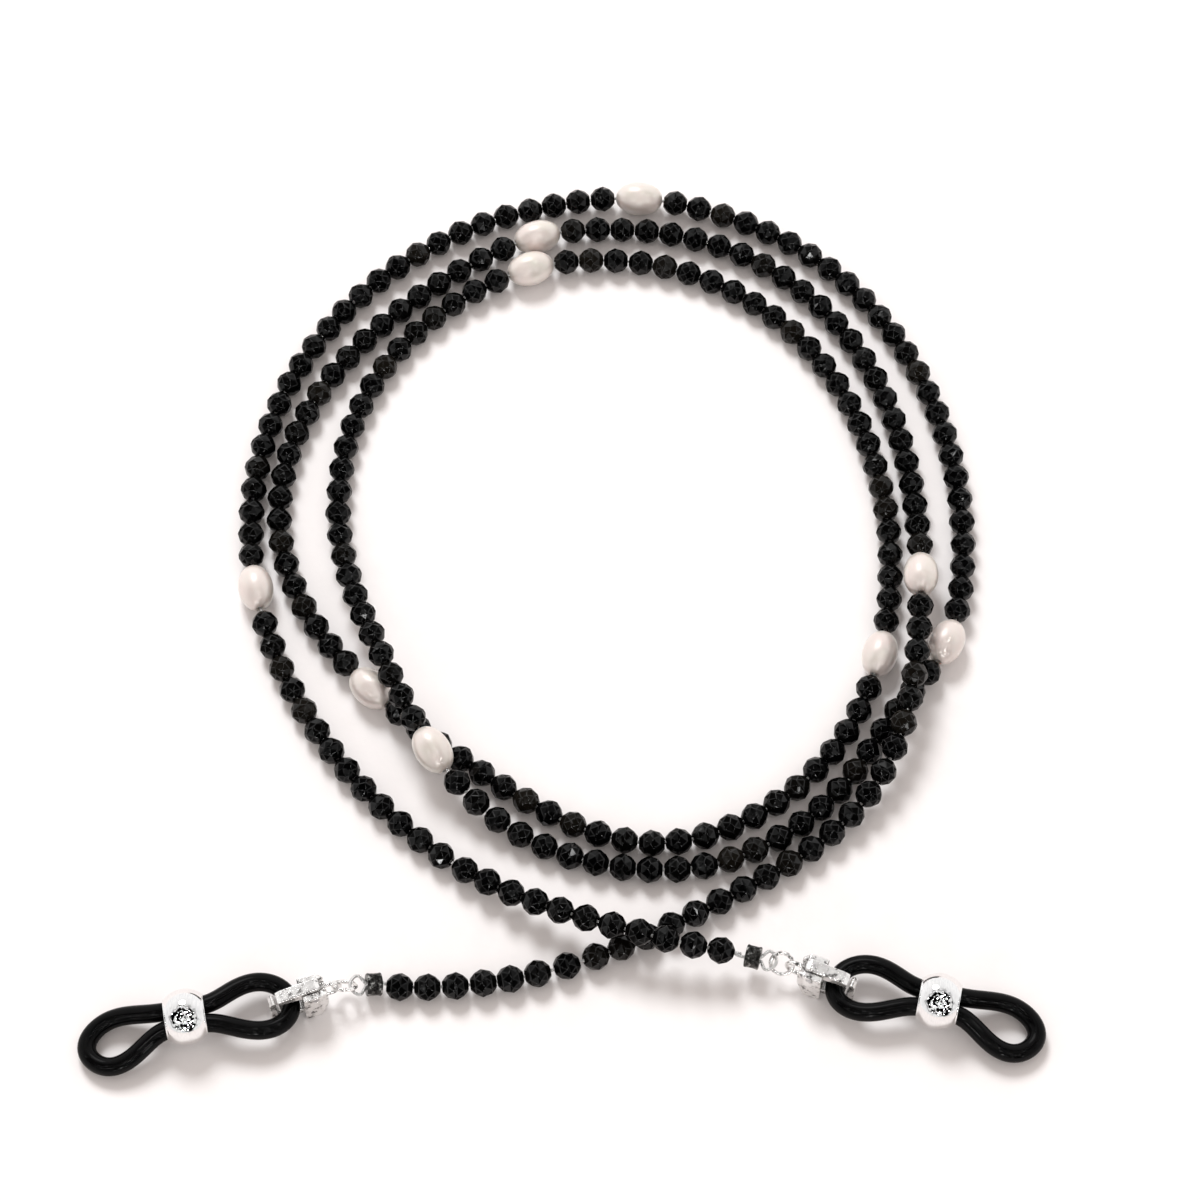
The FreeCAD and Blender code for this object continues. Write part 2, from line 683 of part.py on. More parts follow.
def temple_loop(side, frame):
    """Endless rubber cord: a near loop through the hook and the eye that grips a temple tip."""
    near, far = size("near_loop_length"), size("eye_loop_length")
    pair = size("cord_pair_spacing") / 2
    wide, flat = size("near_loop_wide_side"), size("near_loop_flat_side")
    eye_wide, eye_flat = size("eye_loop_wide_side"), size("eye_loop_flat_side")
    sign = ENDS[side]["wide"]
    throat = 0.55 * size("ball_bore")
    plan = [
        (0, 0), (0.12 * near, wide * 0.78), (0.3 * near, wide), (0.55 * near, wide * 0.75),
        (near - throat, pair), (near, pair), (near + throat, pair),
        (near + 0.5 * far, eye_flat), (near + 0.8 * far, eye_flat * 0.95), (near + far, -0.1 * far),
        (near + 0.84 * far, -eye_wide), (near + 0.55 * far, -eye_wide * 0.9),
        (near + throat, -pair), (near, -pair), (near - throat, -pair),
        (0.5 * near, -0.88 * flat), (0.16 * near, -flat),
    ]
    points = [V(along, sign * across, loop_height(along)) for along, across in plan]
    cord = swept_wire(points, size("cord_diameter"), closed=True)
    keep_shape(f"{side}_rubber_temple_loop", cord, frame)


def slider_ball(side, frame):
    """Bored ball that slides along both cords and closes the eye round a temple tip."""
    ball = primitive("Sphere", f"{side}_ball", Radius="ball_diameter / 2")
    bore = centred_bore(f"{side}_ball_bore", "ball_bore", "(ball_diameter + 1)")
    bored = cut(f"{side}_bored_ball", ball, bore)
    centre = V(size("near_loop_length"), 0, loop_height(size("near_loop_length")))
    keep(bored, f"{side}_slider_ball", frame.multiply(place(centre, turn(Y_AXIS, 90))))


def build_end(side):
    links, clasp, rubber = end_frames(side)
    crimp(side, links)
    wire_loop(side, links)
    jump_ring(side, links)
    clasp_body(side, clasp)
    clasp_lever(side, clasp)
    clasp_pin(side, clasp)
    clasp_spring(side, clasp)
    temple_loop(side, rubber)
    slider_ball(side, rubber)


for side in ENDS:
    build_end(side)


# ---------------------------------------------------------------- check and write

doc.recompute()
for thing in doc.Objects:
    if "Invalid" in thing.State or "Error" in thing.State:
        raise RuntimeError(f"{thing.Label} failed: {thing.State}")
for thing in subparts:
    if thing.Shape.isNull() or not thing.Shape.isValid():
        raise RuntimeError(f"{thing.Label} has no valid shape")

os.makedirs("parts", exist_ok=True)
for thing in subparts:
    thing.Shape.exportStep(f"parts/{thing.Label}.step")
    print(f"{thing.Label}: {len(thing.Shape.Solids)} solids, {thing.Shape.Volume:.2f} mm3")
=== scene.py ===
"""Looks of the beaded eyeglass retainer strap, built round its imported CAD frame.  Metres."""

import json
import math
import random

import bmesh
import bpy
import numpy as np
from mathutils import Matrix, Vector, noise

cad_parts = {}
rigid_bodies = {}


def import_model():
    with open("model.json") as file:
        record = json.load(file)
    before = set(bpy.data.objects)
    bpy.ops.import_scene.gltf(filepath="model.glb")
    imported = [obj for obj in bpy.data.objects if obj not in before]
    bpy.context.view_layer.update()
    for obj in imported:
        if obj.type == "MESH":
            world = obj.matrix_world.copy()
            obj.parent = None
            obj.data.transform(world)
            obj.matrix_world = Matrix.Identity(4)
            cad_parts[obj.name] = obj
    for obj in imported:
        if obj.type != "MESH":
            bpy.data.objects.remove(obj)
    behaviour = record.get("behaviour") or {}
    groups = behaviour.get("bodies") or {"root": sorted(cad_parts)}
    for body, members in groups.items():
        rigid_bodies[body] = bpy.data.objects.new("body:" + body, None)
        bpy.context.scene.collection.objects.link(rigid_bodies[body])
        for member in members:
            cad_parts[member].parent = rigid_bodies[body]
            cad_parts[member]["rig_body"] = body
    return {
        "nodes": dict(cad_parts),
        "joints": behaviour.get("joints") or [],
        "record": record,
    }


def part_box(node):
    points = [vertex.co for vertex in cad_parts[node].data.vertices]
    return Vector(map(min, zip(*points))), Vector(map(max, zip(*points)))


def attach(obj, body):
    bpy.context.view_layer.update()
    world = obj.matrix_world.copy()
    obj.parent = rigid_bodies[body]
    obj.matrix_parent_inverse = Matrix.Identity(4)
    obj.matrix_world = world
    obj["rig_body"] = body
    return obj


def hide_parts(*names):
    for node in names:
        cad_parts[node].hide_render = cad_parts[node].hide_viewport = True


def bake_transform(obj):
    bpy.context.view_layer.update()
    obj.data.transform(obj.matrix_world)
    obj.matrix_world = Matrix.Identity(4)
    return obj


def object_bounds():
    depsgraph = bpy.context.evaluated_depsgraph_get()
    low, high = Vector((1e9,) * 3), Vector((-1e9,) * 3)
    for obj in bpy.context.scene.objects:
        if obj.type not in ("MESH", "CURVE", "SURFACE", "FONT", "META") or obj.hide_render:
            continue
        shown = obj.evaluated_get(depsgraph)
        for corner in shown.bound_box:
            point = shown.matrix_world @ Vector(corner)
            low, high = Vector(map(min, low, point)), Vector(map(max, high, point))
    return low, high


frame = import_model()
cad_low, cad_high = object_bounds()

MM = 0.001
SIDES = ("right", "left")
Z_UP = Vector((0, 0, 1))
joints = {joint["name"]: joint for joint in frame["joints"]}


# ------------------------------------------------------------------ reading the CAD frame

def joint_place(name):
    return Vector(joints[name]["pos_m"])


def joint_axis(name):
    return Vector(joints[name]["axis"]).normalized()


def body_of(node):
    return frame["nodes"][node]["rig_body"]


def slot_of(node):
    return next(part["material_slot"] for part in frame["record"]["subparts"] if part["node"] == node)


def centre_of(node):
    low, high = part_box(node)
    return (low + high) / 2


def welded(node):
    """A CAD node's mesh with the doubled vertices along its face borders joined."""
    shape = bmesh.new()
    shape.from_mesh(frame["nodes"][node].data)
    bmesh.ops.remove_doubles(shape, verts=shape.verts, dist=0.0005 * MM)
    shape.verts.index_update()
    shape.verts.ensure_lookup_table()
    return shape


def solids_of(node):
    """Vertices of each separate solid of a CAD node, as arrays."""
    shape = welded(node)
    seen, solids = set(), []
    for vertex in shape.verts:
        if vertex.index in seen:
            continue
        group, front = [], [vertex]
        seen.add(vertex.index)
        while front:
            current = front.pop()
            group.append(current.co[:])
            for edge in current.link_edges:
                other = edge.other_vert(current)
                if other.index not in seen:
                    seen.add(other.index)
                    front.append(other)
        solids.append(np.array(group))
    shape.free()
    return solids


def solid_centres(node):
    return [Vector(points.mean(axis=0)) for points in solids_of(node)]


# ------------------------------------------------------------------ making pieces

def add_object(name, mesh):
    thing = bpy.data.objects.new(name, mesh)
    bpy.context.scene.collection.objects.link(thing)
    return thing


def mesh_from(name, points, faces, smooth=True):
    mesh = bpy.data.meshes.new(name)
    mesh.from_pydata([tuple(point) for point in points], [], faces)
    mesh.polygons.foreach_set("use_smooth", [smooth] * len(mesh.polygons))
    mesh.validate()
    return mesh


def dress(piece, finish):
    """Give a piece its one material."""
    piece.data.materials.clear()
    piece.data.materials.append(finish)


def settle(piece, node, finish):
    """Dress a piece, let it stand for a CAD node and ride on that node's body."""
    dress(piece, finish)
    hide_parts(node)
    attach(piece, body_of(node))


def baked(thing):
    """Apply every modifier of a piece to its own mesh."""
    graph = bpy.context.evaluated_depsgraph_get()
    mesh = bpy.data.meshes.new_from_object(thing.evaluated_get(graph))
    thing.modifiers.clear()
    old = thing.data
    thing.data = mesh
    bpy.data.meshes.remove(old)
    return thing


def axis_turn(axis, roll=0.0):
    """Matrix that turns Z to an axis, after a roll about Z."""
    return Z_UP.rotation_difference(axis).to_matrix().to_4x4() @ Matrix.Rotation(roll, 4, "Z")


def circle(radius, height, steps, roll=0.0):
    """Points of a level circle about Z.  A roll turns it by a share of one step."""
    angles = [2 * math.pi * (step + roll) / steps for step in range(steps)]
    return [(radius * math.cos(angle), radius * math.sin(angle), height) for angle in angles]


def band(low, high, steps):
    """Four-sided faces between two rings of points, each given by the number of its first point."""
    afters = [(step + 1) % steps for step in range(steps)]
    return [(low + step, low + after, high + after, high + step) for step, after in enumerate(afters)]


def lathe(name, profile, steps):
    """Turn a closed profile of (along, radius) pairs about Z, which makes a bored body."""
    points, faces = [], []
    rows = len(profile)
    for row, (along, radius) in enumerate(profile):
        points += circle(radius, along, steps)
        faces += band(row * steps, (row + 1) % rows * steps, steps)
    mesh = mesh_from(name, points, faces)
    outward(mesh)
    return mesh


def outward(mesh):
    """Turn every face of a mesh to look outwards."""
    shape = bmesh.new()
    shape.from_mesh(mesh)
    bmesh.ops.recalc_face_normals(shape, faces=shape.faces)
    shape.to_mesh(mesh)
    shape.free()


def tube(name, path, radius, around):
    """Round tube along a path, with its length and turn kept as an attribute for materials."""
    points, faces, grain = [], [], []
    side = None
    travelled = 0.0
    for index, place in enumerate(path):
        before = path[max(index - 1, 0)]
        after = path[min(index + 1, len(path) - 1)]
        heading = (after - before).normalized()
        side = heading.orthogonal() if side is None else side - heading * side.dot(heading)
        side.normalize()
        other = heading.cross(side)
        travelled += (place - before).length
        for step in range(around):
            angle = 2 * math.pi * step / around
            points.append(place + (side * math.cos(angle) + other * math.sin(angle)) * radius)
            grain.append((math.cos(angle), math.sin(angle), travelled / MM))
    for index in range(len(path) - 1):
        faces += band(index * around, (index + 1) * around, around)
    faces.append(tuple(reversed(range(around))))
    faces.append(tuple(range((len(path) - 1) * around, len(path) * around)))
    mesh = mesh_from(name, points, faces)
    attribute = mesh.attributes.new("cord_grain", "FLOAT_VECTOR", "POINT")
    attribute.data.foreach_set("vector", [number for entry in grain for number in entry])
    outward(mesh)
    return mesh


def spreads(points):
    """How far points spread along the three main directions of their cloud, least first."""
    return np.linalg.eigh(np.cov((points - points.mean(axis=0)).T))


def own_axis(points):
    """Axis of a turned body: the direction whose spread differs from the other two."""
    spread, directions = spreads(points)
    odd = 0 if abs(spread[1] - spread[0]) > abs(spread[2] - spread[1]) else 2
    return Vector(directions[:, odd])


def circle_centre(points, normal):
    """Centre of the circle that best fits points in a plane, by least squares."""
    side = normal.orthogonal().normalized()
    other = normal.cross(side)
    origin = points.mean(axis=0)
    flat = np.stack([(points - origin) @ np.array(side), (points - origin) @ np.array(other)], axis=1)
    system = np.column_stack([2 * flat, np.ones(len(flat))])
    answer = np.linalg.lstsq(system, (flat ** 2).sum(axis=1), rcond=None)[0]
    return Vector(origin) + side * float(answer[0]) + other * float(answer[1])


def trace_tube(node, start, heading, radius, step, limit):
    """Centreline of a CAD tube that closes on itself, found by slicing its mesh step by step.

    Each slice looks for its own centre three times, within a reach that narrows to the tube's
    wall.  The trace ends where the path meets its own start.
    """
    reaches = (1.25, 1.08, 1.04)  # in tube radii
    fewest_cuts, shortest_path = 6, 4
    shape = welded(node)
    places = np.array([vertex.co[:] for vertex in shape.verts])
    ends = np.array([[vertex.index for vertex in edge.verts] for edge in shape.edges])
    shape.free()
    path, place, heading = [], Vector(start), Vector(heading).normalized()
    for _ in range(limit):
        centre = place
        for reach in reaches:
            height = (places - np.array(centre)) @ np.array(heading)
            low, high = height[ends[:, 0]], height[ends[:, 1]]
            crossing = low * high < 0
            share = low[crossing] / (low[crossing] - high[crossing])
            first, second = places[ends[crossing, 0]], places[ends[crossing, 1]]
            cuts = first + (second - first) * share[:, None]
            near = cuts[np.linalg.norm(cuts - np.array(centre), axis=1) < reach * radius]
            if len(near) < fewest_cuts:
                return path
            centre = circle_centre(near, heading)
        if path:
            heading = (centre - path[-1]).normalized()
        path.append(centre)
        place = centre + heading * step
        if len(path) > shortest_path and (place - path[0]).length < step:
            return path
    return path


def softened(node, name, voxel, passes):
    """Copy of a CAD node with every edge rounded over, as cast and tumbled metal has."""
    shape = welded(node)
    mesh = bpy.data.meshes.new(name)
    shape.to_mesh(mesh)
    shape.free()
    piece = add_object(name, mesh)
    remesh = piece.modifiers.new("remesh", "REMESH")
    remesh.mode = "VOXEL"
    remesh.voxel_size = voxel
    remesh.use_smooth_shade = True
    smooth = piece.modifiers.new("smooth", "SMOOTH")
    smooth.factor = 0.5
    smooth.iterations = passes
    return baked(piece)


# ------------------------------------------------------------------ materials

def grey(level):
    return (level, level, level)


class Nodes:
    """A shader node tree with short calls to add to it."""

    def __init__(self, tree):
        self.tree = tree

    def add(self, kind, inputs=None, **properties):
        """New node with its inputs set to values or linked to other nodes' outputs."""
        node = self.tree.nodes.new(kind)
        for name, value in properties.items():
            setattr(node, name, value)
        for name, value in (inputs or {}).items():
            if isinstance(value, bpy.types.NodeSocket):
                self.tree.links.new(value, node.inputs[name])
            else:
                node.inputs[name].default_value = value
        return node

    def ramp(self, value, *stops):
        """Colour ramp through (position, colour) stops."""
        node = self.add("ShaderNodeValToRGB", {"Fac": value})
        while len(node.color_ramp.elements) < len(stops):
            node.color_ramp.elements.new(0.5)
        for element, (position, colour) in zip(node.color_ramp.elements, stops):
            element.position = position
            element.color = (*colour, 1.0)
        return node.outputs["Color"]

    def levels(self, value, *stops):
        """Ramp of greys through (position, level) stops."""
        return self.ramp(value, *[(position, grey(level)) for position, level in stops])


class Finish(Nodes):
    """A material with a Principled shader and short calls for its procedural detail."""

    def __init__(self, name, **settings):
        self.material = bpy.data.materials.new(name)
        self.material.use_nodes = True
        super().__init__(self.material.node_tree)
        self.shader = self.tree.nodes["Principled BSDF"]
        for setting, value in settings.items():
            self.shader.inputs[setting.replace("_", " ")].default_value = value

    def drive(self, setting, socket):
        self.tree.links.new(socket, self.shader.inputs[setting])

    def where(self):
        return self.add("ShaderNodeNewGeometry").outputs["Position"]

    def attribute(self, name):
        return self.add("ShaderNodeAttribute", attribute_name=name)

    def noise(self, place, per_mm, detail=3.0, roughness=0.5):
        """Noise value with a grain given in grains per millimetre."""
        inputs = {"Vector": place, "Scale": per_mm / MM, "Detail": detail, "Roughness": roughness}
        return self.add("ShaderNodeTexNoise", inputs).outputs["Fac"]

    def stretched(self, place, scale):
        """Coordinates stretched by a factor on each axis."""
        return self.add("ShaderNodeMapping", {"Vector": place, "Scale": scale}).outputs["Vector"]

    def spread(self, value, low, high, start=0.3, end=0.7):
        """Map start..end, between which most noise lies, to low..high."""
        inputs = {"Value": value, "From Min": start, "From Max": end, "To Min": low, "To Max": high}
        return self.add("ShaderNodeMapRange", inputs).outputs["Result"]

    def bump(self, value, depth_mm, under=None):
        """Surface normal of a relief, on top of another relief's normal where one is given."""
        inputs = {"Height": value, "Distance": depth_mm * MM}
        if under is not None:
            inputs["Normal"] = under
        return self.add("ShaderNodeBump", inputs).outputs["Normal"]


def black_glass():
    """Opaque black fire-polished glass, each facet of its own gloss and slightly wavy."""
    finish = Finish("black_glass", IOR=1.52)
    place = finish.where()
    gloss = finish.attribute("facet_gloss").outputs["Fac"]
    finish.drive("Specular IOR Level", finish.spread(gloss, 0.01, 0.26, 0.0, 1.0))
    tone = finish.attribute("bead_tone").outputs["Fac"]
    finish.drive("Base Color", finish.ramp(tone, (0.0, (0.0007, 0.0007, 0.0008)),
                                           (0.7, (0.0014, 0.0013, 0.0012)),
                                           (1.0, (0.0065, 0.0055, 0.0042))))
    polish = finish.noise(place, 0.9, 2.0)
    finish.drive("Roughness", finish.spread(polish, 0.02, 0.10))
    waves = finish.bump(finish.noise(place, 1.3, 1.0), 0.014)
    finish.drive("Normal", finish.bump(finish.noise(place, 14.0, 4.0), 0.0006, under=waves))
    return finish.material


def pearl_nacre():
    """Warm white nacre: soft depth, a pale pink and green play and a lustrous skin."""
    finish = Finish("pearl_nacre", IOR=1.9, Metallic=0.25, Subsurface_Weight=0.25,
                    Subsurface_Scale=0.5 * MM, Coat_Weight=0.6, Coat_Roughness=0.28, Coat_IOR=1.6)
    finish.shader.inputs["Subsurface Radius"].default_value = (1.0, 0.72, 0.6)
    place = finish.where()
    clouds = finish.noise(place, 0.35, 3.0)
    body = finish.ramp(clouds, (0.25, (0.66, 0.575, 0.545)), (0.5, (0.69, 0.635, 0.60)),
                       (0.75, (0.65, 0.635, 0.57)))
    finish.drive("Base Color", body)
    finish.drive("Roughness", finish.spread(finish.noise(place, 1.2, 3.0), 0.30, 0.38))
    facing = finish.add("ShaderNodeLayerWeight", {"Blend": 0.35}).outputs["Facing"]
    finish.drive("Sheen Tint", finish.ramp(facing, (0.0, (1.0, 0.85, 0.85)), (1.0, (0.85, 1.0, 0.92))))
    finish.shader.inputs["Sheen Weight"].default_value = 0.25
    finish.shader.inputs["Sheen Roughness"].default_value = 0.4
    growth = finish.bump(finish.noise(place, 0.7, 2.0), 0.02)
    finish.drive("Normal", finish.bump(finish.noise(place, 6.0, 4.0), 0.0006, under=growth))
    return finish.material


def beading_wire():
    """Fine twisted steel strands under a clear nylon skin."""
    finish = Finish("beading_wire", Metallic=0.85, Coat_Weight=0.5, Coat_Roughness=0.15)
    place = finish.where()
    strands = finish.add("ShaderNodeTexWave", {"Vector": place, "Scale": 4.0 / MM, "Distortion": 1.5},
                         wave_type="BANDS", bands_direction="DIAGONAL").outputs["Fac"]
    finish.drive("Base Color", finish.ramp(strands, (0.1, grey(0.42)), (0.8, (0.88, 0.87, 0.85))))
    finish.drive("Roughness", finish.spread(finish.noise(place, 3.0), 0.22, 0.42))
    finish.drive("Normal", finish.bump(strands, 0.02))
    return finish.material


def gunmetal():
    """Dark plating, worn through to pale metal in small specks."""
    finish = Finish("gunmetal", Metallic=1.0)
    place = finish.where()
    worn = finish.noise(place, 1.8, 5.0, 0.6)
    finish.drive("Base Color", finish.ramp(worn, (0.42, (0.012, 0.0115, 0.011)),
                                           (0.55, (0.06, 0.058, 0.055)),
                                           (0.68, (0.62, 0.61, 0.59))))
    finish.drive("Roughness", finish.spread(worn, 0.22, 0.42))
    pits = finish.bump(finish.noise(place, 2.6, 3.0), 0.05)
    finish.drive("Normal", finish.bump(finish.noise(place, 9.0, 3.0), 0.006, under=pits))
    return finish.material


def silver_finding():
    """Tumbled silver-coloured plating, bright with dark specks of tarnish and fine hairlines."""
    finish = Finish("silver_finding", Metallic=0.8)
    place = finish.where()
    tarnish = finish.noise(place, 1.5, 5.0, 0.6)
    finish.drive("Base Color", finish.ramp(tarnish, (0.36, (0.10, 0.095, 0.09)),
                                           (0.46, (0.86, 0.85, 0.84)),
                                           (0.7, (0.95, 0.94, 0.93))))
    finish.drive("Roughness", finish.spread(finish.noise(place, 1.6, 4.0), 0.10, 0.24))
    hairs = finish.noise(finish.stretched(place, (1.0, 9.0, 3.0)), 1.5, 4.0, 0.65)
    waves = finish.bump(finish.noise(place, 0.9, 2.0), 0.006)
    finish.drive("Normal", finish.bump(hairs, 0.0012, under=waves))
    return finish.material


def spring_steel():
    """Drawn steel with faint streaks."""
    finish = Finish("spring_steel", Metallic=1.0)
    place = finish.where()
    drawn = finish.noise(finish.stretched(place, (1.0, 6.0, 1.0)), 2.0, 3.0)
    finish.drive("Base Color", finish.ramp(drawn, (0.3, (0.38, 0.38, 0.39)), (0.7, (0.62, 0.62, 0.63))))
    finish.drive("Roughness", finish.spread(drawn, 0.18, 0.34))
    finish.drive("Normal", finish.bump(drawn, 0.004))
    return finish.material


def black_rubber():
    """Glossy black rubber cord with faint extrusion lines and a little bloom."""
    finish = Finish("black_rubber", Specular_IOR_Level=0.04, Coat_Weight=0.10, Coat_Roughness=0.04)
    grain = finish.attribute("cord_grain").outputs["Vector"]
    place = finish.where()
    along = finish.noise(finish.stretched(grain, (3.0, 3.0, 0.08)), 0.001, 4.0, 0.6)
    bloom = finish.noise(place, 0.8, 4.0)
    finish.drive("Base Color", finish.ramp(bloom, (0.35, (0.0007, 0.0007, 0.0008)),
                                           (0.75, (0.0022, 0.0021, 0.0022))))
    finish.drive("Roughness", finish.spread(along, 0.16, 0.34))
    lines = finish.bump(along, 0.02)
    finish.drive("Normal", finish.bump(finish.noise(place, 7.0, 3.0), 0.0015, under=lines))
    return finish.material


def polished_ball():
    """Mirror-polished bead with the faintest swirl of fine scratches."""
    finish = Finish("polished_ball", Metallic=1.0)
    place = finish.where()
    swirl = finish.noise(finish.stretched(place, (7.0, 1.0, 2.0)), 1.2, 4.0, 0.6)
    finish.drive("Base Color", finish.ramp(swirl, (0.3, (0.80, 0.79, 0.79)), (0.7, (0.90, 0.89, 0.88))))
    finish.drive("Roughness", finish.spread(finish.noise(place, 1.0, 4.0), 0.02, 0.07))
    finish.drive("Normal", finish.bump(swirl, 0.0008))
    return finish.material


def table_paper():
    """Matt white sheet with a trace of tooth."""
    finish = Finish("table_paper", Roughness=0.9)
    place = finish.where()
    tooth = finish.noise(place, 0.25, 5.0)
    finish.drive("Base Color", finish.ramp(tooth, (0.3, (0.80, 0.795, 0.80)),
                                           (0.7, (0.83, 0.825, 0.83))))
    finish.drive("Normal", finish.bump(finish.noise(place, 2.0, 4.0), 0.01))
    return finish.material


# ------------------------------------------------------------------ black beads, pearls and wire

PEARLS = 9
BEAD_LENGTH = 2.88 * MM
BEAD_RADIUS = 1.55 * MM
BEAD_BORE = 0.45 * MM
BORE_DEPTH = 0.97  # where the bore's mouths lie, as a share of the bead's half length
FACETS = 8
# Rings of a facetted bead: height and radius as shares of its half sizes, and roll in half facets.
BEAD_RINGS = [(-1.0, 0.40, 0), (-0.62, 0.80, 1), (-0.11, 1.0, 0), (0.11, 1.0, 1), (0.62, 0.80, 0),
              (1.0, 0.40, 1)]
EDGE_WIDTH = 0.06 * MM
SHARP_EDGE = math.radians(12)
SMALLEST_FACET = 0.1 * MM * MM  # any smaller face is part of a rounded edge

# How far one bead may differ from the next.
BEAD_TILT = 0.03  # spread of its lean off the wire's heading, in radians
BEAD_SIZES = (0.975, 1.0)
BEAD_WIDTHS = (0.98, 1.0)


def facetted_bead():
    """One fire-polished bead along Z: bands of staggered triangles, and a bore."""
    points, faces = [], []
    for height, radius, roll in BEAD_RINGS:
        points += circle(radius * BEAD_RADIUS, height * BEAD_LENGTH / 2, FACETS, roll / 2)
    for ring in range(len(BEAD_RINGS) - 1):
        rolls_on = BEAD_RINGS[ring][2] < BEAD_RINGS[ring + 1][2]
        for low, low_after, high_after, high in band(ring * FACETS, (ring + 1) * FACETS, FACETS):
            if rolls_on:
                faces += [(low, low_after, high), (low_after, high_after, high)]
            else:
                faces += [(low, low_after, high_after), (low, high_after, high)]
    mouths = []
    for ring in (0, len(BEAD_RINGS) - 1):
        height, _, roll = BEAD_RINGS[ring]
        mouths.append(len(points))
        points += circle(BEAD_BORE, height * BEAD_LENGTH / 2 * BORE_DEPTH, FACETS, roll / 2)
        faces += band(ring * FACETS, mouths[-1], FACETS)
    faces += band(*mouths, FACETS)
    mesh = mesh_from("facetted_bead", points, faces, smooth=False)
    outward(mesh)
    bead = add_object("facetted_bead", mesh)
    bevel = bead.modifiers.new("edges", "BEVEL")
    bevel.width = EDGE_WIDTH
    bevel.segments = 2
    bevel.limit_method = "ANGLE"
    bevel.angle_limit = SHARP_EDGE
    baked(bead)
    for face in bead.data.polygons:
        face.use_smooth = face.area < SMALLEST_FACET
    pattern = bead.data
    bpy.data.objects.remove(bead)
    return pattern


def headings(centres, before, after):
    """Heading at each centre, from its neighbours along the strand."""
    chain = [before] + centres + [after]
    return [(chain[index + 2] - chain[index]).normalized() for index in range(len(centres))]


def bead_run(node, before, after, pattern, finish, dice):
    """Every bead of one CAD node as one mesh, each bead a little different from the next.

    A bead's tone is kept on its vertices and each facet's gloss on its face, for the material.
    """
    centres = solid_centres(node)
    shine = random.Random(node)
    run = bmesh.new()
    tone = run.verts.layers.float.new("bead_tone")
    gloss = run.faces.layers.float.new("facet_gloss")
    for centre, heading in zip(centres, headings(centres, before, after)):
        tilt = Vector([dice.gauss(0, BEAD_TILT) for _ in range(3)])
        size = dice.uniform(*BEAD_SIZES)
        turn = axis_turn((heading + tilt).normalized(), dice.uniform(0, 2 * math.pi / FACETS))
        widths = [size * dice.uniform(*BEAD_WIDTHS) for _ in range(2)]
        shape = Matrix.Diagonal((*widths, size, 1.0))
        first, first_face = len(run.verts), len(run.faces)
        run.from_mesh(pattern)
        run.verts.ensure_lookup_table()
        run.faces.ensure_lookup_table()
        new = run.verts[first:]
        bmesh.ops.transform(run, matrix=Matrix.Translation(centre) @ turn @ shape, verts=new)
        shade = dice.random() ** 2
        for vertex in new:
            vertex[tone] = shade
        for face in run.faces[first_face:]:
            face[gloss] = 1.0 if face.smooth else shine.random() ** 3
    mesh = bpy.data.meshes.new(node + "_glass")
    run.to_mesh(mesh)
    run.free()
    settle(add_object(node + "_glass", mesh), node, finish)


def strand_order():
    """CAD nodes of the strand in the order they are threaded, from the right crimp."""
    order = ["black_beads_right_tail", "black_beads_right_strand", "pearl_1"]
    for number in range(1, PEARLS):
        order += [f"black_beads_stretch_{number}", f"pearl_{number + 1}"]
    return order + ["black_beads_left_strand", "black_bead_left_link", "black_beads_left_tail"]


def string_glass_beads(finish):
    """Thread the black beads, taking the headings at each run's ends from its neighbours."""
    order = strand_order()
    pattern = facetted_bead()
    dice = random.Random(8)
    ends = {node: (solid_centres(node)[0], solid_centres(node)[-1]) for node in order}
    starts = [centre_of("right_crimp")] + [ends[node][1] for node in order]
    nexts = [ends[node][0] for node in order[1:]] + [centre_of("left_crimp")]
    for before, node, after in zip(starts, order, nexts):
        if not node.startswith("pearl"):
            bead_run(node, before, after, pattern, finish, dice)
    bpy.data.meshes.remove(pattern)


def pearl_profile():
    """Closed outline of one side of a drilled pearl: a slightly squared oval and its bore."""
    half_length, radius, bore = 2.84 * MM, 2.0 * MM, 0.42 * MM
    fullness = 0.94  # below 1, the ends are fuller than an ellipse's
    rows = 56
    profile = []
    for row in range(rows + 1):
        angle = math.pi * (row / rows - 0.5)
        along = half_length * math.sin(angle)
        across = radius * math.cos(angle) ** fullness
        if across > bore:
            profile.append((along, across))
    shoulder = profile[-1][0]
    dip = [(shoulder - 0.05 * MM, bore * 0.9), (shoulder - 0.5 * MM, bore * 0.85)]
    return [(-along, across) for along, across in reversed(dip)] + profile + dip


def pearl(number, finish):
    """One pearl, gently uneven as grown pearls are."""
    swell_length, swell_height = 2.4 * MM, 0.018
    ripple_length, ripple_height = 0.8 * MM, 0.003
    shrink = 0.012  # leaves room for the swelling
    node = f"pearl_{number}"
    mesh = lathe(node + "_nacre", pearl_profile(), 72)
    seed = Vector((7.3 * number, 2.1 * number, 0.0))
    for vertex in mesh.vertices:
        swell = noise.noise(vertex.co / swell_length + seed)
        ripple = noise.noise(vertex.co / ripple_length + seed)
        vertex.co *= 1.0 - shrink + swell_height * swell + ripple_height * ripple
    turn = axis_turn(joint_axis(node + "_spin"))
    mesh.transform(Matrix.Translation(centre_of(node)) @ turn)
    settle(add_object(node + "_nacre", mesh), node, finish)


# Joints at which the bare wire bends, each with the nodes before and after it.
FLEXES = {
    "right_strand_lift": ("pearl_1", "black_beads_right_strand"),
    "right_tail_lift": ("black_beads_right_strand", "black_beads_right_tail"),
    "left_tail_swing": ("black_beads_left_strand", "black_bead_left_link"),
    "left_tail_lift": ("black_bead_left_link", "black_beads_left_tail"),
    "right_end_swing": ("black_beads_right_tail", "right_crimp"),
    "left_end_swing": ("black_beads_left_tail", "left_crimp"),
}


